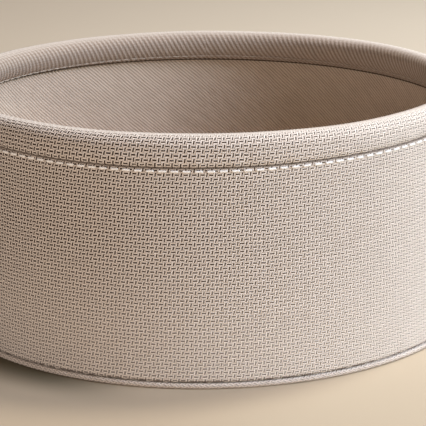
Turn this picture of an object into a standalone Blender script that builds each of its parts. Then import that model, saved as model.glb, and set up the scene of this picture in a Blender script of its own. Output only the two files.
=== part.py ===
"""A round fabric storage bin with a stuffed rim roll, a boarded wall and a piped foot.

Metres, +Z up. The origin is on the floor under the middle of the base, and the
sewn joint of the wall is at the back, on +Y.
"""

import math

import bmesh
import bpy

# Driving sizes. Heights are above the floor, and radii are from the bin's axis.
CREASE_RADIUS = 0.1400  # outside of the wall at the crease under the rim roll
FOOT_SPREAD = 0.0027  # how much wider the wall is at its lower edge
CREASE_HEIGHT = 0.1088
ROLL_WIDTH = 0.0136
ROLL_DEPTH = 0.0138
ROLL_PROUD = 0.0005  # the roll stands out this far past the wall
ROLL_SUNK = 0.0011  # the roll hangs this far below the crease
HEM_DROP = 0.0058  # the rim cover's inner edge lies this far below the crease
FLAP_CORNER = (0.1, 0.38)  # where the cover turns under the roll: shares from roll to hem, and up

CLOTH = 0.0008  # the woven cloth of the wall, lining, rim cover and base
BOARD = 0.0015  # the stiffener inside the wall
TAPE = 0.0003  # gummed tape over the stiffener's joint
BASE_BOARD = 0.0020
CLEARANCE = 0.0003  # between any two pieces that touch

PIPING = 0.0030  # outside diameter of the piping round the foot
PIPING_PROUD = 0.0005  # the piping stands out this far past the wall
PIPING_CLOTH = 0.0005
PIPING_FLANGE = 0.0034  # width of the piping's sewn edge, which runs in under the wall

TOP_ALLOWANCE = 0.0080  # rim cover turned down behind the wall
SIDE_ALLOWANCE = 0.0080  # wall cloth turned back on each side of its joint
HEM_ALLOWANCE = 0.0040  # rim cover turned up behind its inner edge
JOINT_SLIT = 0.0004  # between the two sewn ends of a strip
TAPE_GRIP = 0.0120  # tape on the stiffener on each side of its joint

SEAM_THREAD = 0.0004
TOP_THREAD = 0.0009
DIPPED_THREAD = 0.0003
THREAD_FLATNESS = 0.6  # a stitch pulled down on the cloth is this deep for its width
STITCH_PITCH = 0.00565
STITCH_DROP = 0.0025  # the row of stitches lies this far below the crease

FACETS = 52  # flat strips round each turned piece
ARC_STEPS = 6  # steps over the top of the roll
BULGE_STEPS = 3  # steps along a taut stretch of cloth

# Heights, radii and insets that follow from them
FULL_TURN = 2 * math.pi
BACK = math.pi / 2
LINING_JOINT = math.pi  # opposite the outer joint, so that their folds don't stack up
FOOT_RADIUS = CREASE_RADIUS + FOOT_SPREAD
WALL_LOW = PIPING + CLEARANCE
ALLOWANCE_LOW = CREASE_HEIGHT - TOP_ALLOWANCE
STITCH_HEIGHT = CREASE_HEIGHT - STITCH_DROP
STITCH_COUNT = round(FULL_TURN * CREASE_RADIUS / STITCH_PITCH)
ROLL_HEIGHT = CREASE_HEIGHT - ROLL_SUNK + ROLL_DEPTH / 2  # of the roll's middle
ROLL_RADIUS = CREASE_RADIUS + ROLL_PROUD - ROLL_WIDTH / 2
ROLL_OUTER = ROLL_RADIUS + ROLL_WIDTH / 2
ROLL_INNER = ROLL_RADIUS - ROLL_WIDTH / 2
HEM_HEIGHT = CREASE_HEIGHT - HEM_DROP
HEM_TOP = HEM_HEIGHT + HEM_ALLOWANCE
CORE_INSET = CLOTH + CLEARANCE
BOARD_INSET = CLOTH + CLEARANCE
TAPE_INSET = BOARD_INSET + BOARD + CLEARANCE
LINING_INSET = TAPE_INSET + TAPE + CLEARANCE
HEM_INSET = LINING_INSET + CLOTH + CLEARANCE
LINING_TOP = ROLL_HEIGHT - ROLL_DEPTH / 2 + CORE_INSET - CLEARANCE
BOARD_GAP = SIDE_ALLOWANCE + 2 * CLEARANCE  # on each side of the wall's joint

PIPING_RADIUS = FOOT_RADIUS + PIPING_PROUD - PIPING / 2
PIPING_INNER = PIPING_RADIUS - PIPING / 2
FLANGE_INNER = PIPING_INNER - PIPING_FLANGE
FLANGE_LOW = CLOTH + CLEARANCE
FLANGE_TOP = FLANGE_LOW + 2 * PIPING_CLOTH + CLEARANCE
SEAM_LOW = FLANGE_TOP + CLEARANCE
BASE_BOARD_LOW = CLOTH + CLEARANCE
LINING_LOW = max(BASE_BOARD_LOW + BASE_BOARD, SEAM_LOW + SEAM_THREAD) + CLEARANCE

LINEN = (0.50, 0.43, 0.36)
LINEN_LIGHT = (0.58, 0.51, 0.44)
THREAD_WHITE = (0.86, 0.83, 0.78)
THREAD_TAUPE = (0.42, 0.35, 0.29)
GREY_BOARD = (0.36, 0.33, 0.29)
KRAFT = (0.45, 0.31, 0.18)
FOAM_WHITE = (0.80, 0.79, 0.75)
COTTON = (0.74, 0.70, 0.62)


def clear_scene():
    for item in list(bpy.data.objects):
        bpy.data.objects.remove(item, do_unlink=True)


def finish_of(name, colour, roughness):
    finish = bpy.data.materials.new(name)
    finish.use_nodes = True
    shader = finish.node_tree.nodes["Principled BSDF"]
    shader.inputs["Base Color"].default_value = (*colour, 1.0)
    shader.inputs["Roughness"].default_value = roughness
    shader.inputs["Metallic"].default_value = 0.0
    return finish


def add_piece(name, build, colour, roughness):
    bmesh.ops.recalc_face_normals(build, faces=build.faces)
    mesh = bpy.data.meshes.new(name)
    build.to_mesh(mesh)
    build.free()
    mesh.shade_smooth()
    mesh.set_sharp_from_angle(angle=math.radians(40))
    mesh.materials.append(finish_of(name + "_finish", colour, roughness))
    piece = bpy.data.objects.new(name, mesh)
    bpy.context.scene.collection.objects.link(piece)


def wall_radius(height):
    """Outside of the wall, which leans in a little from its foot to the crease."""
    share = (height - WALL_LOW) / (CREASE_HEIGHT - WALL_LOW)
    return FOOT_RADIUS + (CREASE_RADIUS - FOOT_RADIUS) * share


def turn_of(length):
    """The turn about the axis that a length along the wall takes."""
    return length / CREASE_RADIUS


def turns_between(first, last, also=()):
    """Turns from the back, with one at each facet's edge so that all pieces nest."""
    facet = FULL_TURN / FACETS
    edges = [facet * n for n in range(-FACETS, 2 * FACETS)]
    fixed = [first, last, *also]
    apart = 0.05 * facet
    free = [e for e in edges if first < e < last and all(abs(e - f) > apart for f in fixed)]
    return sorted(fixed + free)


def swept(name, outline_at, turns, colour, roughness, whole=False):
    """A piece whose outline of (radius, height) points is carried about the axis."""
    build = bmesh.new()
    rings = []
    for turn in turns:
        x, y = math.cos(BACK + turn), math.sin(BACK + turn)
        rings.append([build.verts.new((r * x, r * y, z)) for r, z in outline_at(turn)])
    pairs = list(zip(rings, rings[1:]))
    if whole:
        pairs.append((rings[-1], rings[0]))
    else:
        build.faces.new(rings[0])
        build.faces.new(reversed(rings[-1]))
    for ring, next_ring in pairs:
        for here, (a, b) in enumerate(zip(ring, ring[1:] + ring[:1])):
            there = (here + 1) % len(ring)
            build.faces.new((a, b, next_ring[there], next_ring[here]))
    add_piece(name, build, colour, roughness)


def turned(name, outline, colour, roughness):
    """The same outline all the way round."""
    facet = FULL_TURN / FACETS
    turns = [facet * n for n in range(FACETS)]
    swept(name, lambda turn: outline, turns, colour, roughness, whole=True)


def strip(name, inset, thickness, low, high, turns, colour, roughness):
    """A strip that follows the wall, inset from its outside."""
    top, foot = wall_radius(high) - inset, wall_radius(low) - inset
    outline = [(foot, low), (top, high), (top - thickness, high), (foot - thickness, low)]
    swept(name, lambda turn: outline, turns, colour, roughness)


def disc(name, radius, low, thickness, colour, roughness):
    build = bmesh.new()
    edge = []
    for n in range(FACETS):
        turn = BACK + FULL_TURN * n / FACETS
        edge.append(build.verts.new((radius * math.cos(turn), radius * math.sin(turn), low)))
    face = build.faces.new(edge)
    raised = bmesh.ops.extrude_face_region(build, geom=[face])["geom"]
    upper = [item for item in raised if isinstance(item, bmesh.types.BMVert)]
    bmesh.ops.translate(build, verts=upper, vec=(0, 0, thickness))
    add_piece(name, build, colour, roughness)


def thread_ring(name, radius, low):
    """A chain-stitched thread that runs all the way round inside a seam."""
    inner, high = radius - SEAM_THREAD, low + SEAM_THREAD
    turned(name, [(radius, low), (radius, high), (inner, high), (inner, low)], THREAD_TAUPE, 0.8)


def stitch_row(name, radius, faces_out, colour):
    """One thread all the way round, thick where it lies on the cloth, thin where it dips in."""
    half_pitch = FULL_TURN / STITCH_COUNT / 2
    side = 1 if faces_out else -1

    def outline_at(turn):
        on_the_cloth = round(turn / half_pitch) % 2
        thick = TOP_THREAD if on_the_cloth else DIPPED_THREAD
        low, high = STITCH_HEIGHT - thick / 2, STITCH_HEIGHT + thick / 2
        proud = radius + side * thick * THREAD_FLATNESS
        return [(radius, low), (radius, high), (proud, STITCH_HEIGHT)]

    turns = [half_pitch * n for n in range(2 * STITCH_COUNT)]
    swept(name, outline_at, turns, colour, 0.6, whole=True)


def arc(middle, reach, first, last, steps):
    """Points on an oval, by angle from its outward side, turning upward."""
    points = []
    for n in range(steps + 1):
        angle = first + (last - first) * n / steps
        points.append(
            (middle[0] + reach[0] * math.cos(angle), middle[1] + reach[1] * math.sin(angle))
        )
    return points


def taut(start, corner, end, steps):
    """Points of a taut stretch of cloth from start to just before end, drawn to corner."""
    points = []
    for n in range(steps):
        share = n / steps
        a, b, c = (1 - share) ** 2, 2 * share * (1 - share), share**2
        points.append(tuple(a * s + b * m + c * e for s, m, e in zip(start, corner, end)))
    return points


# --- The wall: outer cloth, stiffener with its tape, and lining ---


def outer_wall():
    """One strip of cloth, its two ends turned back inside and sewn together."""
    slit = turn_of(JOINT_SLIT / 2)
    folded = turn_of(SIDE_ALLOWANCE)
    fold_top = ALLOWANCE_LOW - CLEARANCE

    def outline_at(turn):
        from_joint = min(turn, FULL_TURN - turn)
        layers = 2 if from_joint < folded + slit else 1
        heights = (CREASE_HEIGHT, fold_top, fold_top - CLEARANCE, WALL_LOW)
        depths = (CLOTH, CLOTH, layers * CLOTH, layers * CLOTH)
        outside = [(wall_radius(z), z) for z in (WALL_LOW, CREASE_HEIGHT)]
        return outside + [(wall_radius(z) - depth, z) for z, depth in zip(heights, depths)]

    step = turn_of(CLEARANCE)
    edges = [folded, folded + step + slit]
    edges += [FULL_TURN - edge for edge in edges]
    swept("outer_wall", outline_at, turns_between(slit, FULL_TURN - slit, edges), LINEN, 0.9)


def outer_side_seam_thread():
    """The thread that joins the outer wall's two ends, behind the cloth."""
    half = turn_of(SEAM_THREAD)
    inset = 2 * CLOTH + CLEARANCE
    low, high = WALL_LOW + CLEARANCE, ALLOWANCE_LOW - CLEARANCE
    turns = [-half, half]
    strip("outer_side_seam_thread", inset, SEAM_THREAD, low, high, turns, THREAD_TAUPE, 0.8)


def wall_stiffener():
    """A board rolled into a tube, with a gap that leaves room for the folded cloth."""
    gap = turn_of(BOARD_GAP)
    high = ALLOWANCE_LOW - CLEARANCE
    turns = turns_between(gap, FULL_TURN - gap)
    strip("wall_stiffener", BOARD_INSET, BOARD, WALL_LOW, high, turns, GREY_BOARD, 0.85)


def stiffener_joint_tape():
    """Gummed tape on the inside of the stiffener, which holds its two ends."""
    reach = turn_of(BOARD_GAP + TAPE_GRIP)
    low, high = WALL_LOW + TAPE_GRIP / 2, ALLOWANCE_LOW - TAPE_GRIP / 2
    turns = turns_between(-reach, reach)
    strip("stiffener_joint_tape", TAPE_INSET, TAPE, low, high, turns, KRAFT, 0.6)


def lining_wall():
    """The lining's wall, a strip whose ends meet opposite the outer joint."""
    slit = turn_of(JOINT_SLIT / 2)
    turns = turns_between(LINING_JOINT + slit, LINING_JOINT + FULL_TURN - slit)
    strip("lining_wall", LINING_INSET, CLOTH, LINING_LOW, LINING_TOP, turns, LINEN, 0.9)


def lining_side_seam_thread():
    """The thread that joins the lining's two ends, between it and the stiffener."""
    half = turn_of(SEAM_THREAD)
    low, high = WALL_LOW + CLEARANCE, ALLOWANCE_LOW - CLEARANCE
    turns = [LINING_JOINT - half, LINING_JOINT + half]
    strip("lining_side_seam_thread", TAPE_INSET, TAPE, low, high, turns, THREAD_TAUPE, 0.8)


# --- The rim: core, cover, seam and the row of stitches that holds it ---


def rim_core():
    """A soft foam rope whose two ends meet at the back."""
    reach = ROLL_WIDTH / 2 - CORE_INSET, ROLL_DEPTH / 2 - CORE_INSET
    outline = arc((ROLL_RADIUS, ROLL_HEIGHT), reach, 0, FULL_TURN, 2 * ARC_STEPS)[:-1]
    slit = turn_of(JOINT_SLIT)
    turns = turns_between(slit, FULL_TURN - slit)
    swept("rim_core", lambda turn: outline, turns, FOAM_WHITE, 0.7)


def flap(depth):
    """The rim cover inside the bin, at a depth in its cloth, from the roll to the fold."""
    face = wall_radius(HEM_TOP) - HEM_INSET - 2 * CLOTH
    fold = (face + depth, HEM_HEIGHT + 1.5 * CLOTH + depth)
    corner_radius = ROLL_INNER + FLAP_CORNER[0] * (face - ROLL_INNER)
    corner_height = HEM_HEIGHT + FLAP_CORNER[1] * (ROLL_HEIGHT - HEM_HEIGHT)
    corner = (corner_radius + depth, corner_height + depth)
    return taut((ROLL_INNER + depth, ROLL_HEIGHT), corner, fold, BULGE_STEPS + 1) + [fold]


def shoulder(depth):
    """The rim cover outside, at a depth in its cloth, from the seam up to the roll's side."""
    seam = (wall_radius(CREASE_HEIGHT) - BOARD_INSET - depth, CREASE_HEIGHT + CLEARANCE)
    corner = (ROLL_OUTER - depth, CREASE_HEIGHT + 3 * CLEARANCE + depth)
    return taut(seam, corner, (ROLL_OUTER - depth, ROLL_HEIGHT), BULGE_STEPS)


def over_the_roll(depth, steps):
    """The rim cover over the top of the core, from its outer side to its inner side."""
    reach = ROLL_WIDTH / 2 - depth, ROLL_DEPTH / 2 - depth
    return arc((ROLL_RADIUS, ROLL_HEIGHT), reach, 0, math.pi, steps)


def rim_cover():
    """A strip round the core, one edge down behind the wall and the other hemmed inside."""
    front = flap(0.0)
    hem_back = wall_radius(HEM_TOP) - HEM_INSET
    hem = [
        (front[-1][0], HEM_HEIGHT + CLEARANCE),
        (front[-1][0] + CLOTH / 2, HEM_HEIGHT),
        (hem_back, HEM_HEIGHT),
        (hem_back, HEM_TOP),
        (hem_back - CLOTH, HEM_TOP),
    ]
    leg = wall_radius(ALLOWANCE_LOW) - BOARD_INSET
    outside = [(leg, ALLOWANCE_LOW)] + shoulder(0.0)
    outside += over_the_roll(0.0, ARC_STEPS + 2)[:-1] + front
    inside = [(leg - CLOTH, ALLOWANCE_LOW)] + shoulder(CLOTH)
    inside += over_the_roll(CLOTH, ARC_STEPS)[:-1] + flap(CLOTH)
    turned("rim_cover", outside + hem + inside[::-1], LINEN, 0.9)


def rim_seam_thread():
    """The seam that joins the rim cover to the wall, just below the crease."""
    low = CREASE_HEIGHT - 4 * SEAM_THREAD
    thread_ring("rim_seam_thread", wall_radius(low) - BOARD_INSET - CLOTH - CLEARANCE, low)


def rim_topstitch():
    """Off-white stitches outside, which hold the rim cover's allowance to the wall."""
    stitch_row("rim_topstitch", wall_radius(STITCH_HEIGHT) + CLEARANCE, True, THREAD_WHITE)


def rim_bobbin_stitch():
    """The same row where it comes through inside, in thread of the cloth's colour."""
    high = STITCH_HEIGHT + TOP_THREAD
    front = flap(0.0)
    above, below = [(a, b) for a, b in zip(front, front[1:]) if a[1] >= high >= b[1]][0]
    share = (high - below[1]) / (above[1] - below[1])
    face = below[0] + (above[0] - below[0]) * share
    flat = math.cos(math.pi / FACETS)
    stitch_row("rim_bobbin_stitch", face * flat - CLEARANCE, False, THREAD_TAUPE)


# --- The foot and base: piping, base cloth, base board and floor lining ---


def piping_cover():
    """Cloth folded round a cord, its two edges sewn in flat under the wall."""
    middle = (PIPING_RADIUS, PIPING / 2)
    outer, inner = PIPING / 2, PIPING / 2 - PIPING_CLOTH
    slit_low, slit_high = FLANGE_LOW + PIPING_CLOTH, FLANGE_TOP - PIPING_CLOTH

    def angle_at(height, reach):
        """Where the oval's inward side passes a height."""
        return math.pi - math.asin((height - middle[1]) / reach)

    upper, lower = angle_at(FLANGE_TOP, outer), angle_at(FLANGE_LOW, outer) - FULL_TURN
    inner_upper = angle_at(slit_high, inner)
    inner_lower = angle_at(slit_low, inner) - FULL_TURN
    outline = [(FLANGE_INNER, FLANGE_TOP)]
    outline += arc(middle, (outer, outer), upper, lower, ARC_STEPS + 2)
    outline += [(FLANGE_INNER, FLANGE_LOW), (FLANGE_INNER, slit_low)]
    outline += arc(middle, (inner, inner), inner_lower, inner_upper, ARC_STEPS)
    outline += [(FLANGE_INNER, slit_high)]
    turned("piping_cover", outline, LINEN_LIGHT, 0.9)


def piping_cord():
    """The cotton cord inside the piping."""
    reach = PIPING / 2 - PIPING_CLOTH - CLEARANCE
    outline = arc((PIPING_RADIUS, PIPING / 2), (reach, reach), 0, FULL_TURN, ARC_STEPS)[:-1]
    turned("piping_cord", outline, COTTON, 0.8)


def base():
    disc("base_cloth", PIPING_INNER - CLEARANCE, 0.0, CLOTH, LINEN, 0.9)
    board_radius = FLANGE_INNER - CLEARANCE
    disc("base_board", board_radius, BASE_BOARD_LOW, BASE_BOARD, GREY_BOARD, 0.85)
    floor_radius = wall_radius(LINING_LOW) - HEM_INSET
    disc("lining_floor", floor_radius, LINING_LOW, CLOTH, LINEN, 0.9)


def base_seams():
    """The thread through wall, piping and base, and the thread round the floor lining."""
    thread_ring("base_seam_thread", PIPING_INNER - 3 * SEAM_THREAD, SEAM_LOW)
    thread_ring("lining_floor_seam_thread", FLANGE_INNER + 2 * SEAM_THREAD, SEAM_LOW)


def main():
    clear_scene()
    outer_wall()
    outer_side_seam_thread()
    wall_stiffener()
    stiffener_joint_tape()
    lining_wall()
    lining_side_seam_thread()
    rim_core()
    rim_cover()
    rim_seam_thread()
    rim_topstitch()
    rim_bobbin_stitch()
    piping_cover()
    piping_cord()
    base()
    base_seams()


if __name__ == "__main__":
    main()
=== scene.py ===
"""The looks of a round linen storage bin with a stuffed rim, a boarded wall and a piped foot.

Metres, +Z up, the origin on the floor under the middle of the base. The sections follow
the bin as it is sewn together, from the camera's place to the floor that it stands on.
"""

import math

import bpy
import numpy as np
from mathutils import Matrix, Vector


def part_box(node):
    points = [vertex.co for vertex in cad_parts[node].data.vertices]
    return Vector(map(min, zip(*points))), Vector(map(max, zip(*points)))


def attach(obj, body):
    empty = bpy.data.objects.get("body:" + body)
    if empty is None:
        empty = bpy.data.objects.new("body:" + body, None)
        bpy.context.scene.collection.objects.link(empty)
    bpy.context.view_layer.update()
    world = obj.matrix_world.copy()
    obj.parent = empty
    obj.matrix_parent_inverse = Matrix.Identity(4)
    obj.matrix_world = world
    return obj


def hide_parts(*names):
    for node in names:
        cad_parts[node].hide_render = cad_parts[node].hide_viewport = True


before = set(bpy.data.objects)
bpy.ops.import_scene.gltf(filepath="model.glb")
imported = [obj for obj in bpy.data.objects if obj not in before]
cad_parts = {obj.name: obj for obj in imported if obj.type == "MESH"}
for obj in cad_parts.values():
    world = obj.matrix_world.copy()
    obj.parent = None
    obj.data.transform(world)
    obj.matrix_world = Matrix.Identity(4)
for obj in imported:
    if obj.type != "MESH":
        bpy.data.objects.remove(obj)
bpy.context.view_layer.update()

# --- Camera ---
# A long lens a little above the rim, close enough that the bin's sides run out of view.
# It leans down on the bin and is rolled a touch to the left.
def in_the_scene(name, data):
    """An object that shows the data."""
    made = bpy.data.objects.new(name, data)
    bpy.context.scene.collection.objects.link(made)
    return made


EYE = (0.0035, -0.8833, 0.3044)
LOOKS_DOWN = math.radians(16.38)
ROLLED = -0.0086
camera = in_the_scene("camera", bpy.data.cameras.new("camera"))
camera.data.lens = 142.7
camera.data.sensor_width = 36.0
camera.matrix_world = (
    Matrix.Translation(EYE)
    @ Matrix.Rotation(math.pi / 2 - LOOKS_DOWN, 4, "X")
    @ Matrix.Rotation(ROLLED, 4, "Z")
)
bpy.context.scene.camera = camera
bpy.context.scene.view_settings.view_transform = "Standard"


# --- Outer wall ---
# One strip of natural basket-weave linen, two yarns to a cell, pulled tight round a board.
# Its two ends are turned back inside and meet in a seam at the back, on +Y.
FULL_TURN = 2 * math.pi
CLOTH = 0.0008
CELLS_ROUND = 444  # cells of the weave round the wall
CREASE_RADIUS = 0.1400
CELL = FULL_TURN * CREASE_RADIUS / CELLS_ROUND  # one cell of the weave, 2 mm
WALL_LOW, WALL_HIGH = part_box("outer_wall")[0].z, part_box("outer_wall")[1].z
FOOT_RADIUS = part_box("outer_wall")[1].x


def wall_radius(height):
    """Outside of the wall, which leans in a little from its foot to the crease."""
    share = (height - WALL_LOW) / (WALL_HIGH - WALL_LOW)
    return FOOT_RADIUS + (CREASE_RADIUS - FOOT_RADIUS) * share


class Term:
    """A value that varies over a finish: sums, products and the like add Math nodes."""

    def __init__(self, finish, socket):
        self.finish, self.socket = finish, socket

    def join(self, operation, *values):
        sockets = dict(enumerate(values))
        return self.finish.node("ShaderNodeMath", {"operation": operation}, sockets)

    def __add__(self, other):
        return self.join("ADD", self, other)

    def __sub__(self, other):
        return self.join("SUBTRACT", self, other)

    def __rsub__(self, other):
        return self.join("SUBTRACT", other, self)

    def __mul__(self, other):
        return self.join("MULTIPLY", self, other)

    def __mod__(self, other):
        return self.join("FLOORED_MODULO", self, other)

    def __pow__(self, other):
        return self.join("POWER", self, other)

    def __abs__(self):
        return self.join("ABSOLUTE", self)

    __radd__ = __add__
    __rmul__ = __mul__

    def floor(self):
        return self.join("FLOOR", self)

    def sine(self):
        return self.join("SINE", self)

    def fraction(self):
        return self.join("FRACT", self)

    def toward(self, other, share):
        """This value where share is 0, and other where it is 1."""
        return self + (other - self) * share

    def eased(self, low, high):
        """0 below low and 1 above high, or the other way round, with a soft change."""
        settings = {"interpolation_type": "SMOOTHSTEP"}
        sockets = {"Value": self, "From Min": low, "From Max": high}
        return self.finish.node("ShaderNodeMapRange", settings, sockets)


class Finish:
    """A material under way: its nodes, and the shader that they feed."""

    def __init__(self, name, roughness, sheen=0.0, specular=0.12):
        self.material = bpy.data.materials.new(name)
        self.material.use_nodes = True
        self.tree = self.material.node_tree
        self.shader = self.tree.nodes["Principled BSDF"]
        self.shader.inputs["Roughness"].default_value = roughness
        self.shader.inputs["Specular IOR Level"].default_value = specular
        self.shader.inputs["Sheen Weight"].default_value = sheen
        self.shader.inputs["Sheen Roughness"].default_value = 0.5

    def node(self, kind, settings, sockets, output=0):
        made = self.tree.nodes.new(kind)
        for key, value in settings.items():
            setattr(made, key, value)
        for key, value in sockets.items():
            if isinstance(value, Term):
                self.tree.links.new(value.socket, made.inputs[key])
            else:
                made.inputs[key].default_value = value
        return Term(self, made.outputs[output])

    def places(self, where, count):
        """The coordinates of a place or a map, one Term for each."""
        split = self.node("ShaderNodeSeparateXYZ", {}, {"Vector": where})
        return [Term(self, split.socket.node.outputs[n]) for n in range(count)]

    def least(self, first, second):
        return self.node("ShaderNodeMath", {"operation": "MINIMUM"}, {0: first, 1: second})

    def point(self, x, y, z=0.0):
        return self.node("ShaderNodeCombineXYZ", {}, {"X": x, "Y": y, "Z": z})

    def noise(self, where, scale, detail=2.0):
        sockets = {"Vector": where, "Scale": scale, "Detail": detail}
        return self.node("ShaderNodeTexNoise", {"noise_dimensions": "3D"}, sockets)

    def blend(self, first, second, share):
        """Colours, or links to them, mixed by share."""
        sockets = {0: share, 6: first, 7: second}
        return self.node("ShaderNodeMix", {"data_type": "RGBA"}, sockets, 2)

    def place(self):
        """The place on the object, in metres."""
        return self.node("ShaderNodeTexCoord", {}, {}, 3)

    def feed(self, socket, value):
        self.tree.links.new(value.socket, self.shader.inputs[socket])

    def relief(self, height, distance, strength=1.0):
        sockets = {"Height": height, "Distance": distance, "Strength": strength}
        self.feed("Normal", self.node("ShaderNodeBump", {}, sockets))


LINEN_LIGHT, LINEN_DARK = (0.88, 0.79, 0.71), (0.70, 0.61, 0.53)
# Painted shade for the slits between the yarns and the dips where they dive under each other.
PAINTED_SLIT_SHADE = (0.045, 0.024, 0.013)
STRAY = 0.6  # a yarn strays from its straight line by up to about half of this, in cells
LEAN = 0.22  # of a slit between two upright yarns
SLIT, SLIT_SPREAD = 0.165, 0.16  # half of a slit's width in cells, and its rise with the shade
CLOSING = 2.5  # cells over which the weave closes, where it does
WEAVE_DEPTH = 0.00042


def basket_weave(cloth, slant=0.0, depth=1.0, closed_from=None):
    """Pairs of yarns that pass over and under each other, with a slit between each pair.

    The weave is turned by slant, its slits carry painted shade as dark as depth says, and it is
    drawn nearly shut past closed_from, in cells, where that painted shade fades. Returns its
    colour, height and two straight coordinates.
    """
    weave_map = cloth.node("ShaderNodeUVMap", {"uv_map": "Weave"}, {})
    straight_round, straight_across = cloth.places(weave_map, 2)
    round_, across_ = straight_round, straight_across
    if slant:
        round_ = straight_round * math.cos(slant) - straight_across * math.sin(slant)
        across_ = straight_round * math.sin(slant) + straight_across * math.cos(slant)
    wander = cloth.noise(cloth.point(round_ * 0.21, across_ * 0.21), 1.0)
    wander_too = cloth.noise(cloth.point(round_ * 0.21, across_ * 0.21, 9.0), 1.0)
    round_ = round_ + (wander - 0.5) * STRAY
    across_ = across_ + (wander_too - 0.5) * STRAY
    warp_on_top = (round_.floor() + across_.floor()) % 2.0
    off_round, off_across = round_.fraction() - 0.5, across_.fraction() - 0.5
    side_round, side_across = abs(off_round), abs(off_across)
    leaning = abs(off_round - off_across * LEAN)
    from_slit = side_across.toward(leaning, warp_on_top)
    from_middle = side_round.toward(side_across, warp_on_top)

    # Each yarn has its own thickness and shade along its whole length.
    weft = cloth.point(round_ * 0.16, (across_ * 2.0).floor() * 3.7, 4.0)
    warp = cloth.point((round_ * 2.0).floor() * 3.7, across_ * 0.16, 7.0)
    shade = cloth.noise(weft, 1.0, 3.0).toward(cloth.noise(warp, 1.0, 3.0), warp_on_top)
    # Painted shade: the slits are painted darker and wider on the side away from the lamps, and
    # fainter on the lit side.
    painted_side_shade = (straight_round * (FULL_TURN / CELLS_ROUND)).sine() * 0.70 + 1.08
    slit_width = (shade * SLIT_SPREAD + SLIT) * (painted_side_shade * 0.4 + 0.6)
    slit_end = 0.55 - warp_on_top * 0.07
    along = round_.toward(across_, warp_on_top)
    athwart = across_.toward(round_, warp_on_top)
    hairs = cloth.noise(cloth.point(along * 2.2, athwart * 13.0, warp_on_top), 1.0, 3.0)
    slit = (from_slit + (hairs - 0.5) * 0.10).eased(slit_width, slit_width * 0.15)
    slit = slit * from_middle.eased(slit_end, slit_end - 0.11)
    dive = (from_middle * 2.0) ** 4.0
    crown = 1.0 - (from_slit * 4.0 - 1.0) ** 2.0
    if closed_from:
        still_open = 1.0 - straight_across.eased(closed_from, closed_from + CLOSING) * 0.85
        slit, dive, crown = slit * still_open, dive * still_open, crown * still_open
        shade = (shade - 0.5) * (still_open * 0.5 + 0.5) + 0.5

    tone = (shade - 0.5) * 1.3 + (hairs - 0.5) * 0.55 + 0.5
    colour = cloth.blend((*LINEN_DARK, 1.0), (*LINEN_LIGHT, 1.0), tone.eased(0.0, 1.0))
    # Painted shade: the slits and the dips where the yarns dive are blended towards dark brown.
    shaded = cloth.least(slit * painted_side_shade * depth + dive * painted_side_shade * 0.16, 1.0)
    colour = cloth.blend(colour, (*PAINTED_SLIT_SHADE, 1.0), shaded)
    height = crown * 0.55 - dive * 0.45 - slit * 0.75 + hairs * 0.18
    return colour, height, straight_round, straight_across


def linen(name, **changes):
    cloth = Finish(name, roughness=0.9, sheen=0.08)
    colour, height, _, _ = basket_weave(cloth, **changes)
    cloth.feed("Base Color", colour)
    cloth.relief(height, WEAVE_DEPTH)
    return cloth.material


def resampled(path, step):
    """Points evenly spaced along a path of (radius, height) points, about a step apart."""
    path = np.array(path, float)
    gaps = np.hypot(*np.diff(path, axis=0).T)
    far = np.concatenate([[0.0], np.cumsum(gaps)])
    count = max(1, round(far[-1] / step))
    stops = np.linspace(0.0, far[-1], count + 1)
    return np.column_stack([np.interp(stops, far, path[:, n]) for n in (0, 1)])


def round_the_axis(turns, radius, height):
    """Points at their turns from the back, radii and heights."""
    bearing = math.pi / 2 + turns
    points = np.stack([radius * np.cos(bearing), radius * np.sin(bearing), height], -1)
    return points.reshape(-1, 3).tolist()


def between_rings(count, size, whole):
    """Faces from each of count rings of size points to the next, and back to the first."""
    ring = np.arange(count if whole else count - 1)[:, None]
    here = np.arange(size)[None, :]
    low, high = ring * size, (ring + 1) % count * size
    there = (here + 1) % size
    quads = np.stack([low + here, low + there, high + there, high + here], -1)
    return quads.reshape(-1, 4).tolist()


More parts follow.
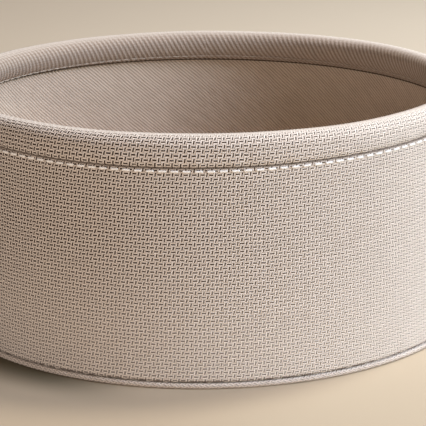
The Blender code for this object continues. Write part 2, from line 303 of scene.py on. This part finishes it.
def sewn_round(name, face, back, shape, turns, whole, pillow=0.00016):
    """A closed sheet carried round the axis, from its visible face and its hidden back.

    face and back are paths of (radius, height) points that run the same way.
    shape(turn, radius, height, shown) moves the points to where the cloth really lies.
    pillow is how far each cell of the weave swells from the face.
    """
    face, back = resampled(face, CELL / 2), np.array(back, float)[::-1]
    rows = np.arange(len(face)) / 2
    back_rows = np.linspace(rows[-1], rows[0], len(back))
    outline = np.concatenate([face, back])
    rows = np.concatenate([rows, back_rows])
    shown = np.concatenate([np.ones(len(face)), np.zeros(len(back))])
    along = np.gradient(outline[: len(face)], axis=0)
    along /= np.hypot(*along.T)[:, None]
    turns = np.array(turns, float)[:, None]
    columns = turns / FULL_TURN * CELLS_ROUND

    lift = pillow * np.abs(np.sin(math.pi * columns) * np.sin(math.pi * rows)) * shown
    lift[:, [0, len(face) - 1]] = 0.0
    radius = np.repeat(outline[None, :, 0], len(turns), 0)
    height = np.repeat(outline[None, :, 1], len(turns), 0)
    radius[:, : len(face)] += lift[:, : len(face)] * along[:, 1]
    height[:, : len(face)] -= lift[:, : len(face)] * along[:, 0]
    radius, height = shape(turns, radius, height, shown[None, :])

    points = round_the_axis(turns, radius, height)
    size, count = len(outline), len(turns)
    faces = between_rings(count, size, whole)
    bands = len(faces) // size
    last = np.append(columns[1:, 0], 2 * columns[-1, 0] - columns[-2, 0])
    shape_of = (bands, size)
    first_u = np.broadcast_to(columns[:bands], shape_of)
    next_u = np.broadcast_to(last[:bands, None], shape_of)
    here_v, there_v = rows[None, :], np.append(rows[1:], rows[-1])[None, :]
    here_v, there_v = np.broadcast_to(here_v, shape_of), np.broadcast_to(there_v, shape_of)
    corners = np.stack(
        [
            np.stack([first_u, here_v], -1),
            np.stack([first_u, there_v], -1),
            np.stack([next_u, there_v], -1),
            np.stack([next_u, here_v], -1),
        ],
        2,
    ).reshape(-1, 2)
    if not whole:
        ends = [list(range(size))[::-1], [(count - 1) * size + n for n in range(size)]]
        faces += ends
        for turn_at, order in ((columns[0, 0], ends[0]), (columns[-1, 0], ends[1])):
            ends_v = rows[[n % size for n in order]]
            corners = np.concatenate([corners, np.column_stack([np.full(size, turn_at), ends_v])])

    mesh = bpy.data.meshes.new(name)
    mesh.from_pydata(points, [], faces)
    mesh.uv_layers.new(name="Weave").uv.foreach_set("vector", corners.astype(np.float32).ravel())
    mesh.shade_smooth()
    mesh.set_sharp_from_angle(angle=math.radians(50))
    return in_the_scene(name, mesh)


def settle(piece, node, material):
    piece.data.materials.append(material)
    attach(piece, "root")
    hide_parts(node)


def waver(turn, seed):
    """A slow unevenness of hand-set cloth, between 0 and 1."""
    total = sum(
        math.sin(seed * k) * np.sin(k * turn + 1.7 * seed * k) for k in (2, 3, 5, 8, 13)
    )
    return np.clip(0.5 + 0.16 * total, 0.0, 1.0)


JOINT_SLIT = 0.0004
WALL_END = JOINT_SLIT / 2 / CREASE_RADIUS
WALL_TURNS = np.linspace(WALL_END, FULL_TURN - WALL_END, 2 * CELLS_ROUND + 1)


def tucked_at(turn, joint, radius, reach=0.0011, depth=0.0006):
    """How far the cloth's face rolls in where it turns back at its joint."""
    away = np.abs((turn - joint + math.pi) % FULL_TURN - math.pi) * radius
    return depth * np.clip(1 - away / reach, 0.0, 1.0) ** 2


def crease_rise(turn):
    """The crease isn't quite level: it climbs a little at the sides."""
    return 0.0005 - 0.0013 * np.cos(2 * turn) - 0.0006 * np.sin(turn)


CREASE_ROLL, FOOT_ROLL = (0.0018, 0.00070), (0.0012, 0.00065)  # how high, how far in


def wall_shape(turn, radius, height, shown):
    """Rolled in at the crease and the foot, dented along the row of stitches."""
    at_top = np.clip(1 - (WALL_HIGH - height) / CREASE_ROLL[0], 0.0, 1.0) ** 2
    at_foot = np.clip(1 - (height - WALL_LOW) / FOOT_ROLL[0], 0.0, 1.0) ** 2
    dent = np.exp(-(((height - STITCH_HEIGHT) / 0.0011) ** 2))
    share = (height - WALL_LOW) / (WALL_HIGH - WALL_LOW)
    swell = 0.00035 * waver(turn, 1.3) * np.sin(math.pi * share)
    inward = CREASE_ROLL[1] * at_top + FOOT_ROLL[1] * at_foot + 0.00014 * dent
    inward = inward + tucked_at(turn, 0.0, radius)
    lifted = height + (crease_rise(turn) - 0.0002) * np.clip(share * 2 - 1, 0.0, 1.0)
    return radius + shown * (swell - inward), lifted


STITCH_HEIGHT = (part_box("rim_topstitch")[0].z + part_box("rim_topstitch")[1].z) / 2
wall_face = [(wall_radius(z), z) for z in (WALL_LOW, WALL_HIGH)]
wall_back = [(wall_radius(z) - CLOTH, z) for z in np.linspace(WALL_LOW, WALL_HIGH, 5)]
outer_wall = sewn_round("bin_wall_cloth", wall_face, wall_back, wall_shape, WALL_TURNS, False)

# Painted shade: thin dark brown lines, broken in places, in the crease along the foot and just
# under the crease at the top. Painted light: the cloth is painted paler toward the foot.
BOUNCE_LIT_LINEN, CREASE_SHADE_BROWN = (0.92, 0.84, 0.76), (0.070, 0.038, 0.020)
wall_linen = Finish("natural_linen", roughness=0.9, sheen=0.08)
colour, height, round_, across = basket_weave(wall_linen)
broken = wall_linen.noise(wall_linen.point(round_ * 0.55, across), 1.0, 3.0)
# Painted shade in the crease along the foot, broken in places.
foot_crease_shade = across.eased(0.65, 0.15) * broken.eased(0.34, 0.58)
WALL_ROWS = len(resampled(wall_face, CELL / 2)) / 2
# Painted shade just under the crease, where the roll overhangs the wall.
crease_shade = across.eased(WALL_ROWS - 1.35, WALL_ROWS - 1.0) * (broken * 0.5 + 0.45)
# Painted light: paler toward the foot, where the floor throws light back up.
painted_floor_bounce = across.eased(WALL_ROWS * 0.75, 0.0) * 0.30
colour = wall_linen.blend(colour, (*BOUNCE_LIT_LINEN, 1.0), painted_floor_bounce)
colour = wall_linen.blend(colour, (*CREASE_SHADE_BROWN, 1.0), foot_crease_shade * 0.85 + crease_shade)
wall_linen.feed("Base Color", colour)
wall_linen.relief(height, WEAVE_DEPTH)
settle(outer_wall, "outer_wall", wall_linen.material)


# --- Lining ---
# A strip of finer ribbed linen inside the board, and a round of it on the base board.
# Its joint lies opposite the outer one, and its foot is caught by the floor's seam.
LINING_INSET = 0.0035
LINING_LOW, LINING_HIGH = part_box("lining_wall")[0].z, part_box("lining_wall")[1].z
LINING_JOINT = math.pi
TWILL_LIGHT, TWILL_DARK = (0.76, 0.64, 0.53), (0.39, 0.30, 0.23)


def lining_shape(turn, radius, height, shown):
    """Slack by a hair between its seams, rolled back at its joint."""
    share = (height - LINING_LOW) / (LINING_HIGH - LINING_LOW)
    slack = 0.0004 * waver(turn, 2.1) * np.sin(math.pi * share)
    return radius - shown * (slack - tucked_at(turn, LINING_JOINT, radius)), height


lining_face = [(wall_radius(z) - LINING_INSET - CLOTH, z) for z in (LINING_HIGH, LINING_LOW)]
lining_back = [(wall_radius(z) - LINING_INSET, z) for z in np.linspace(LINING_HIGH, LINING_LOW, 5)]
lining = sewn_round(
    "bin_lining_cloth", lining_face, lining_back, lining_shape, WALL_TURNS + LINING_JOINT, False
)


def ribbed_lining():
    """A twill: fine ribs that run slantwise, each yarn stepping one along from the last."""
    cloth = Finish("lining_twill", roughness=0.9, sheen=0.08)
    weave_map = cloth.node("ShaderNodeUVMap", {"uv_map": "Weave"}, {})
    round_, down = cloth.places(weave_map, 2)
    wander = cloth.noise(cloth.point(round_ * 0.12, down * 0.12), 1.0)
    slope = round_ * 0.83 + down * 0.95 + (wander - 0.5) * 0.7
    rib = abs(slope.fraction() - 0.5) * 2.0
    steps = abs((round_ * 2.0 - down * 0.6).fraction() - 0.5) * 2.0
    shade = cloth.noise(cloth.point(slope.floor() * 2.3, down * 0.25), 1.0, 3.0)
    hairs = cloth.noise(cloth.point(round_ * 5.0, down * 9.0), 1.0, 3.0)
    tone = rib.eased(0.05, 0.75) * 0.75 + steps * 0.10 + (shade - 0.5) * 0.6 + (hairs - 0.5) * 0.4
    colour = cloth.blend((*TWILL_DARK, 1.0), (*TWILL_LIGHT, 1.0), tone)
    cloth.feed("Base Color", colour)
    cloth.relief(rib * 0.6 + steps * 0.2 + hairs * 0.2, 0.00030)
    return cloth.material


lining_cloth = ribbed_lining()
settle(lining, "lining_wall", lining_cloth)


def cloth_round(name, radius, low, slack):
    """A round of cloth, its weave running straight across it, lying a little loose."""
    count, around = round(radius / CELL / 1.5), 240
    far = np.linspace(0.0, radius, count + 1)[1:, None]
    turn = np.arange(around) * FULL_TURN / around
    x = np.append(0.0, far * np.cos(turn))
    y = np.append(0.0, far * np.sin(turn))
    waves = 0.5 + 0.25 * (np.sin(44 * x + 2 * np.sin(31 * y)) + np.sin(37 * y - 23 * x))
    lifted = low + slack * waves * (1 - (np.hypot(x, y) / radius) ** 4)
    points = np.concatenate(
        [np.column_stack([x, y, lifted + CLOTH]), np.column_stack([x, y, lifted])]
    )
    ring = np.arange(count - 1)[:, None] * around + 1
    here = np.arange(around)
    there = (here + 1) % around
    fan = np.column_stack([0 * here, 1 + here, 1 + there])
    quads = np.stack(
        [ring + here, ring + around + here, ring + around + there, ring + there], -1
    ).reshape(-1, 4)
    rim, under = 1 + (count - 1) * around, len(x)
    edge = np.column_stack(
        [rim + here, rim + under + here, rim + under + there, rim + there]
    )
    faces = fan.tolist() + quads.tolist() + edge.tolist()
    faces += (under + fan[:, ::-1]).tolist() + (under + quads[:, ::-1]).tolist()
    mesh = bpy.data.meshes.new(name)
    mesh.from_pydata(points.tolist(), [], faces)
    corners = points[[loop.vertex_index for loop in mesh.loops], :2] / CELL
    mesh.uv_layers.new(name="Weave").uv.foreach_set("vector", corners.astype(np.float32).ravel())
    mesh.shade_smooth()
    mesh.set_sharp_from_angle(angle=math.radians(50))
    return in_the_scene(name, mesh)


floor_low, floor_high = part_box("lining_floor")
lining_floor = cloth_round("lining_floor_cloth", floor_high.x, floor_low.z, 0.0009)
settle(lining_floor, "lining_floor", lining_cloth)


# --- Rim roll ---
# A foam rope in a strip of the wall's cloth, sewn in at the crease outside.
# Inside, the strip is pulled down over the lining and ends in a narrow turned hem.
ROLL_RADIUS, ROLL_HEIGHT = 0.1337, 0.1146
ROLL_REACH = (0.0068, 0.0069)
LEG_RADIUS = 0.1389  # the cover's seam allowance, behind the wall
LEG_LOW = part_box("rim_cover")[0].z
HEM_LOW, HEM_TOP = 0.1030, 0.1070
HEM_BACK, HEM_FACE = 0.13545, 0.13385
FLAP_CORNER = (0.12760, 0.10741)  # where the taut cloth inside is drawn towards
OUTSIDE_FROM = 0.1360  # from this radius out, the cover is on its outer side
SEAM_HEIGHT = WALL_HIGH + 0.0003
TURNS_IN = 11.2  # cells from the cover's lower edge to where it turns in over the rope
# Painted shade colours: for the roll's inner side and gathers, and for under the hem.
ROLL_SHADE_BROWN, HEM_SHADE_BROWN = (0.12, 0.055, 0.016), (0.045, 0.028, 0.016)


def drawn(start, corner, end, steps=10):
    """A taut stretch of cloth from start to end, drawn towards corner."""
    share = np.linspace(0.0, 1.0, steps + 1)[:, None]
    start, corner, end = (np.array(place) for place in (start, corner, end))
    return (1 - share) ** 2 * start + 2 * share * (1 - share) * corner + share**2 * end


def over_the_rope(depth, steps=24):
    """A plump oval, a little fuller at its shoulders than a true one."""
    angle = np.linspace(0.0, math.pi, steps + 1)
    across = np.sign(np.cos(angle)) * np.abs(np.cos(angle)) ** 0.86
    return np.column_stack(
        [
            ROLL_RADIUS + (ROLL_REACH[0] - depth) * across,
            ROLL_HEIGHT + (ROLL_REACH[1] - depth) * np.sin(angle) ** 0.86,
        ]
    )


def cover_path(depth):
    """The cover at a depth in its cloth, from the seam over the rope to the hem's fold."""
    outer, inner = ROLL_RADIUS + ROLL_REACH[0] - depth, ROLL_RADIUS - ROLL_REACH[0] + depth
    seam = (LEG_RADIUS - depth, SEAM_HEIGHT)
    lip = (outer + 0.0001, SEAM_HEIGHT + depth)
    under = drawn(seam, (LEG_RADIUS + 0.0010, SEAM_HEIGHT - 0.0014 + 1.4 * depth), lip)
    up = drawn(lip, (outer + 0.0006, SEAM_HEIGHT + 0.0025), (outer, ROLL_HEIGHT))
    corner = (FLAP_CORNER[0] + depth, FLAP_CORNER[1] + depth)
    down = drawn((inner, ROLL_HEIGHT), corner, (HEM_FACE + depth, HEM_LOW + 0.0012 + depth))
    return np.concatenate([under[:-1], up[:-1], over_the_rope(depth)[:-1], down])


def rim_shape(turn, radius, height, shown):
    """Small gathers above the crease and at the hem, and a slow swell of the rope."""
    low = np.clip(1 - (height - SEAM_HEIGHT) / 0.0060, 0.0, 1.0)
    outside = np.clip((radius - ROLL_RADIUS) / ROLL_REACH[0], 0.0, 1.0)
    inside = np.clip((ROLL_RADIUS - radius) / ROLL_REACH[0], 0.0, 1.0)
    gathers = np.sin(61 * turn + 2.0 * np.sin(7 * turn)) + 0.7 * np.sin(97 * turn + 1.0)
    ripple = 0.00016 * gathers * low * (outside + inside)
    swell = 0.00035 * waver(turn, 0.9)
    up = np.clip((height - ROLL_HEIGHT) / ROLL_REACH[1], 0.0, 1.0)
    down = np.clip((ROLL_HEIGHT - height) / 0.0060, 0.0, 1.0)
    outer_part = np.clip((radius - OUTSIDE_FROM) / 0.0015, 0.0, 1.0)
    whipped = np.exp(-(((height - HEM_LOW - 0.0012) / 0.0009) ** 2)) * (1 - outer_part)
    stitch = np.round(turn * CELLS_ROUND * 2 / FULL_TURN) % 3 == 1
    moved = radius + (ripple + swell) * (outside - inside) - 0.00030 * stitch * whipped * shown
    lifted = height + (0.0004 * waver(turn, 3.3) - 0.0005 - 0.0004 * np.cos(turn)) * up
    lifted = lifted + crease_rise(turn) * down * outer_part
    return moved, lifted + 0.0011 * np.sin(turn) * down * (1 - outer_part)


cover_face = np.concatenate(
    [[(LEG_RADIUS, LEG_LOW)], cover_path(0.0), [(HEM_FACE + 0.0004, HEM_LOW + 0.0001)]]
)
cover_back = np.concatenate(
    [
        [(LEG_RADIUS - CLOTH, LEG_LOW)],
        cover_path(CLOTH)[::4],
        [(HEM_BACK - CLOTH, HEM_TOP), (HEM_BACK, HEM_TOP), (HEM_BACK, HEM_LOW)],
    ]
)
WHOLE_TURNS = np.arange(2 * CELLS_ROUND) * FULL_TURN / (2 * CELLS_ROUND)
rim_cover = sewn_round("rim_cover_cloth", cover_face, cover_back, rim_shape, WHOLE_TURNS, True)


def rim_linen(rows):
    """The wall's linen, gathered slantwise inside, with painted shade: brown on the roll's inner
    side and in its gathers, and a dark brown band on the hem's lower edge.
    """
    cloth = Finish("rim_linen", roughness=0.9, sheen=0.08)
    colour, height, round_, across = basket_weave(cloth, closed_from=TURNS_IN)
    # Painted shade: the roll's inner side, facing down and away from the lamps, is painted brown,
    # and the gathers' hollows darker.
    inside = across.eased(TURNS_IN + 0.4, TURNS_IN + 5.8)
    gathers = (round_ * 3.93 + across * 2.2).sine() * 0.5 + 0.5
    shaded = gathers * across.eased(TURNS_IN + 2.8, TURNS_IN + 6.8)
    colour = cloth.blend(colour, (*ROLL_SHADE_BROWN, 1.0), shaded * 0.30 + inside * 0.43)
    # Painted shade under the hem: its lower edge is painted dark brown, toothed along its edge.
    teeth = (round_ * (FULL_TURN / 1.5)).sine() * 0.12
    hem_edge_shade = (across + teeth).eased(rows - 1.15, rows - 0.85)
    colour = cloth.blend(colour, (*HEM_SHADE_BROWN, 1.0), hem_edge_shade * 0.9)
    cloth.feed("Base Color", colour)
    cloth.relief(height - shaded * 0.38, WEAVE_DEPTH)
    return cloth.material


COVER_ROWS = len(resampled(cover_face, CELL / 2)) / 2
settle(rim_cover, "rim_cover", rim_linen(COVER_ROWS))


# --- Rope in the rim ---
# A soft foam rope, a little squeezed where the cover is sewn in. It is pushed into the roll as
# the cover is closed, and nothing but the cover holds it. Its ends meet at the back.
ROPE_REACH = (0.0052, 0.0053)
ROPE_END_GAP = 0.003  # half the turn between the rope's two ends


def rope_in_the_rim():
    rings, size = 361, 24
    around = np.arange(size) * FULL_TURN / size
    turns = np.linspace(ROPE_END_GAP, FULL_TURN - ROPE_END_GAP, rings)[:, None]
    dimple = 0.00012 * np.sin(140 * turns) * np.sin(3 * around)
    radius = ROLL_RADIUS - 0.0002 + (ROPE_REACH[0] + dimple) * np.cos(around)
    height = ROLL_HEIGHT - 0.0001 + (ROPE_REACH[1] + dimple) * np.sin(around)
    faces = [face[::-1] for face in between_rings(rings, size, False)]
    faces += [list(range(size)), list(range((rings - 1) * size, rings * size))[::-1]]
    mesh = bpy.data.meshes.new("foam_rope")
    mesh.from_pydata(round_the_axis(turns, radius, height), [], faces)
    mesh.shade_smooth()
    rope = in_the_scene("foam_rope", mesh)
    foam = Finish("white_foam", roughness=0.8)
    pores = foam.noise(foam.place(), 900.0, 3.0)
    foam.feed("Base Color", foam.blend((0.72, 0.70, 0.64, 1.0), (0.86, 0.85, 0.81, 1.0), pores))
    foam.relief(pores, 0.0003)
    settle(rope, "rim_core", foam.material)


rope_in_the_rim()


# --- Stitches under the crease ---
# One thick off-white thread all the way round: it lies on the cloth for two thirds of each
# stitch and dips through it for the rest. Inside, its fellow in the cloth's colour catches it.
STITCH_PITCH = 0.00565
STITCHES = round(FULL_TURN * CREASE_RADIUS / STITCH_PITCH)
DIPPED = 0.00012  # the thread's half width where it dips through the cloth
PROUD, SUNK = 0.00016, 0.00045  # its middle stands out or lies in this far from the cloth


def stitch_row(name, node, material, cloth_radius, side, high, wide, climb):
    """side is 1 on the outer face and -1 on the inner, and climb 1 if it follows the crease."""
    per_stitch, size = 14, 10
    count = STITCHES * per_stitch
    turn = (np.arange(count) * FULL_TURN / count)[:, None]
    phase = (np.arange(count) % per_stitch / per_stitch)[:, None]
    on_top = np.clip((0.345 - np.abs(phase - 0.5)) / 0.035, 0.0, 1.0)
    on_top = on_top * on_top * (3 - 2 * on_top)
    half_high = DIPPED + (high / 2 - DIPPED) * on_top
    half_wide = DIPPED + (wide / 2 - DIPPED) * on_top
    slant = DIPPED * (phase - 0.5) * on_top
    angle = np.arange(size) * FULL_TURN / size
    centre = cloth_radius + side * (PROUD * on_top - SUNK * (1 - on_top))
    middle = STITCH_HEIGHT + climb * crease_rise(turn) + slant
    radius, height = centre + half_wide * np.cos(angle), middle + half_high * np.sin(angle)
    faces = [face[::-1] for face in between_rings(count, size, True)]
    mesh = bpy.data.meshes.new(name)
    mesh.from_pydata(round_the_axis(turn, radius, height), [], faces)
    mesh.shade_smooth()
    settle(in_the_scene(name, mesh), node, material)


def thread(name, light, dark):
    """Twisted thread, its plies slanting round it."""
    strand = Finish(name, roughness=0.45, sheen=0.6, specular=0.5)
    plies = strand.node(
        "ShaderNodeTexWave",
        {"bands_direction": "DIAGONAL"},
        {"Vector": strand.place(), "Scale": 420.0, "Distortion": 0.6},
    )
    strand.feed("Base Color", strand.blend((*dark, 1.0), (*light, 1.0), plies))
    strand.relief(plies, 0.00004)
    return strand.material


stitch_row(
    "crease_stitches",
    "rim_topstitch",
    thread("off_white_thread", (0.98, 0.97, 0.95), (0.94, 0.92, 0.885)),
    cloth_radius=wall_radius(STITCH_HEIGHT),
    side=1,
    high=0.00112,
    wide=0.00070,
    climb=1,
)
taupe_thread = thread("taupe_thread", (0.50, 0.42, 0.34), (0.36, 0.29, 0.23))
stitch_row(
    "bobbin_stitches",
    "rim_bobbin_stitch",
    taupe_thread,
    cloth_radius=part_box("rim_bobbin_stitch")[1].x,
    side=-1,
    high=0.00060,
    wide=0.00040,
    climb=0,
)


# --- Piping ---
# A cotton cord in a bias strip of the same cloth, which edges the foot. The strip's two edges
# are laid together and sewn in between the wall's foot and the base.
PIPING = 0.0030
PIPING_CLOTH = 0.0005
PIPING_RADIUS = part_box("piping_cover")[1].x - PIPING / 2
FLANGE_IN = 0.1368
FLANGE_TOP, FLANGE_LOW = 0.0024, 0.0011
FACE_LEAVES = (2.498, -2.737)  # the angles at which the strip leaves the cord for its flange
BACK_LEAVES = (2.73, -3.04)


def piping_shape(turn, radius, height, shown):
    return radius + 0.0001 * shown * np.sin(CELLS_ROUND / 2 * turn), height


def round_the_cord(reach, first, last, steps=16):
    angle = np.linspace(first, last, steps + 1)
    return np.column_stack(
        [PIPING_RADIUS + reach * np.cos(angle), PIPING / 2 + reach * np.sin(angle)]
    )


piping_face = np.concatenate(
    [
        [(FLANGE_IN, FLANGE_TOP)],
        round_the_cord(PIPING / 2, *FACE_LEAVES),
        [(FLANGE_IN, FLANGE_LOW)],
    ]
)
piping_back = np.concatenate(
    [
        [(FLANGE_IN, FLANGE_TOP - PIPING_CLOTH)],
        round_the_cord(PIPING / 2 - PIPING_CLOTH, *BACK_LEAVES, 10),
        [(FLANGE_IN, FLANGE_LOW + PIPING_CLOTH)],
    ]
)
piping = sewn_round(
    "piping_cloth_strip", piping_face, piping_back, piping_shape, WHOLE_TURNS, True, pillow=0.0
)
piping_cloth = linen("piping_linen", slant=math.radians(45), depth=0.30)
settle(piping, "piping_cover", piping_cloth)


# --- Base ---
# A round of the wall's linen closes the base from below, under a round of grey board.
# It lies inside the piping, whose flange is sewn between it and the wall.
base_low, base_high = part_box("base_cloth")
base = cloth_round("base_cloth_round", base_high.x, base_low.z, 0.0)
settle(base, "base_cloth", linen("base_linen"))


# --- Boards, tape, cord and hidden threads ---
# The boards are grey pulp board, the wall's one closed with gummed kraft tape. The piping has
# a soft cotton cord in it, and the hidden seams are sewn in thread of the cloth's colour.
def refinish(material, *nodes):
    for node in nodes:
        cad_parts[node].material_slots[0].material = material


def pulp(name, dark, light, grain, relief):
    """Pressed paper pulp: pale and dark flecks in soft clouds."""
    board = Finish(name, roughness=0.9)
    flecks = board.noise(board.place(), grain, 4.0)
    clouds = board.noise(board.place(), 60.0)
    tone = (flecks * 0.7 + clouds * 0.4).eased(0.35, 0.75)
    board.feed("Base Color", board.blend((*dark, 1.0), (*light, 1.0), tone))
    board.relief(flecks, relief)
    return board.material


def twisted_cotton():
    """Loose strands laid round each other, a little fluffy."""
    cord = Finish("cotton_cord", roughness=0.85, sheen=0.3)
    strands = cord.node(
        "ShaderNodeTexWave",
        {"bands_direction": "DIAGONAL"},
        {"Vector": cord.place(), "Scale": 160.0, "Distortion": 1.0},
    )
    fluff = cord.noise(cord.place(), 1500.0, 3.0)
    tone = (strands * 0.7 + fluff * 0.4).eased(0.1, 0.9)
    cord.feed("Base Color", cord.blend((0.60, 0.56, 0.48, 1.0), (0.84, 0.81, 0.74, 1.0), tone))
    cord.relief(strands, 0.0002)
    return cord.material


refinish(
    pulp("grey_board", (0.26, 0.24, 0.21), (0.46, 0.43, 0.38), 700.0, 0.0001),
    "wall_stiffener",
    "base_board",
)
refinish(
    pulp("kraft_tape", (0.36, 0.24, 0.14), (0.54, 0.39, 0.24), 1100.0, 0.00005),
    "stiffener_joint_tape",
)
refinish(twisted_cotton(), "piping_cord")
refinish(
    taupe_thread,
    "outer_side_seam_thread",
    "lining_side_seam_thread",
    "lining_floor_seam_thread",
    "rim_seam_thread",
    "base_seam_thread",
)


# --- Floor and backdrop ---
# One pale sheet of paper that curves up far behind, with painted light paler toward the back
# and right and a painted shadow by the foot, lit by soft studio lamps: two at the right, one
# above, one behind and a weak one low in front.
PAPER_PALE, PAPER_WARM = (0.73, 0.62, 0.50), (0.437, 0.353, 0.245)
PAPER_IN_SHADE = (0.13, 0.115, 0.075)


def backdrop():
    path = [(-4.0, 0.0), (3.0, 0.0)]
    path += [(3.0 + math.sin(a), 1.0 - math.cos(a)) for a in np.linspace(0.1, 1.47, 16)]
    path += [(4.0, 1.0), (4.0, 3.5)]
    mesh = bpy.data.meshes.new("studio_floor")
    points = [(x, y, z) for y, z in path for x in (-4.0, 4.0)]
    faces = [(2 * n, 2 * n + 1, 2 * n + 3, 2 * n + 2) for n in range(len(path) - 1)]
    mesh.from_pydata(points, [], faces)
    mesh.shade_smooth()
    floor = in_the_scene("studio_floor", mesh)
    paper = Finish("warm_paper", roughness=0.9)
    right, back, _ = paper.places(paper.place(), 3)
    # Painted light: the paper is painted paler toward the back and the right, with a little random
    # cloudiness.
    painted_lit_share = paper.noise(paper.place(), 2.5) * 0.12 + back * 0.55 + right * 0.30 + 0.32
    tint = paper.blend((*PAPER_WARM, 1.0), (*PAPER_PALE, 1.0), painted_lit_share.eased(0.0, 1.0))
    # A painted shadow: the paper is painted darker by the bin's foot on the left.
    from_axis = (right * right + back * back) ** 0.5
    painted_foot_shadow = from_axis.eased(0.170, 0.145) * right.eased(-0.025, -0.085)
    tint = paper.blend(tint, (*PAPER_IN_SHADE, 1.0), painted_foot_shadow * 0.92)
    paper.feed("Base Color", tint)
    mesh.materials.append(paper.material)


backdrop()


def lamp(name, place, aim, size, power, colour):
    light = bpy.data.lights.new(name, "AREA")
    light.shape, light.size, light.energy, light.color = "DISK", size, power, colour
    holder = in_the_scene(name, light)
    facing = (Vector(aim) - Vector(place)).to_track_quat("-Z", "Y")
    holder.matrix_world = Matrix.Translation(place) @ facing.to_matrix().to_4x4()


BIN_MIDDLE, BIN_FOOT = (0.0, 0.0, 0.06), (0.0, 0.0, 0.02)
lamp("side_lamp", (1.25, -0.50, 1.05), BIN_MIDDLE, 0.9, 24.5, (0.80, 0.84, 1.0))
lamp("low_side_lamp", (1.20, -0.50, 0.42), BIN_MIDDLE, 0.6, 4.5, (0.70, 0.95, 1.0))
lamp("top_lamp", (0.54, 0.22, 1.50), BIN_MIDDLE, 0.35, 14.0, (1.0, 0.93, 0.85))
lamp("back_lamp", (1.10, 0.80, 1.00), BIN_MIDDLE, 0.6, 8.7, (0.70, 0.93, 1.0))
lamp("low_lamp", (-0.50, -1.10, 0.10), BIN_FOOT, 0.5, 6.2, (1.0, 0.87, 0.80))
world = bpy.data.worlds.new("studio")
world.use_nodes = True
sky = world.node_tree.nodes["Background"]
sky.inputs["Color"].default_value = (1.0, 0.80, 0.65, 1.0)
sky.inputs["Strength"].default_value = 0.16
bpy.context.scene.world = world
